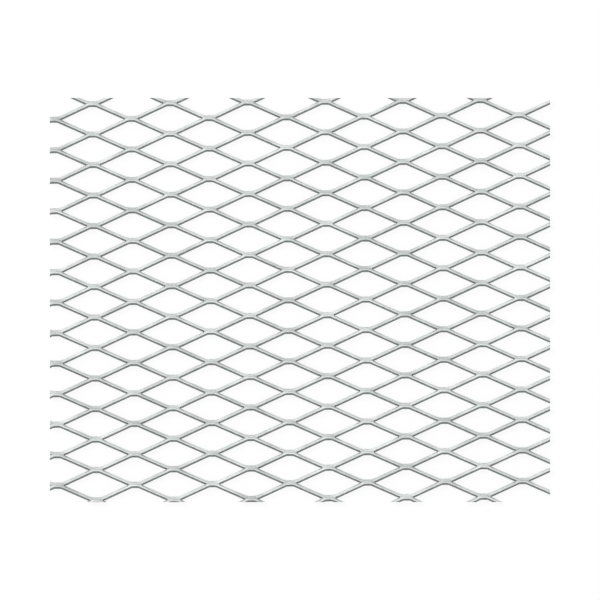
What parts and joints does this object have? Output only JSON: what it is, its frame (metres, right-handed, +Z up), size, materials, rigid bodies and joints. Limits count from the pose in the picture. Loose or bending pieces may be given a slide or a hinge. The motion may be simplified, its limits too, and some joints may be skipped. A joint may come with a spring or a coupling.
{
  "type": "expanded metal sheet",
  "caption": "Small cut panel of raised expanded metal with long diamond openings, bright grey strands and dark sheared edges.",
  "frame": {"origin": "middle of the panel's outline, on the plane that the sheet lies on", "axes": "+X along the long way of the diamonds, +Y along the short way, +Z up out of the face that the picture shows"},
  "size_m": [0.1968, 0.159, 0.0038],
  "materials": {
    "bright_metal": "bright rolled strand faces, sheared edges half burnished and half dark and rough"
  },
  "bodies": {
    "root": {"expanded_sheet": "bright_metal"}
  },
  "joints": []
}
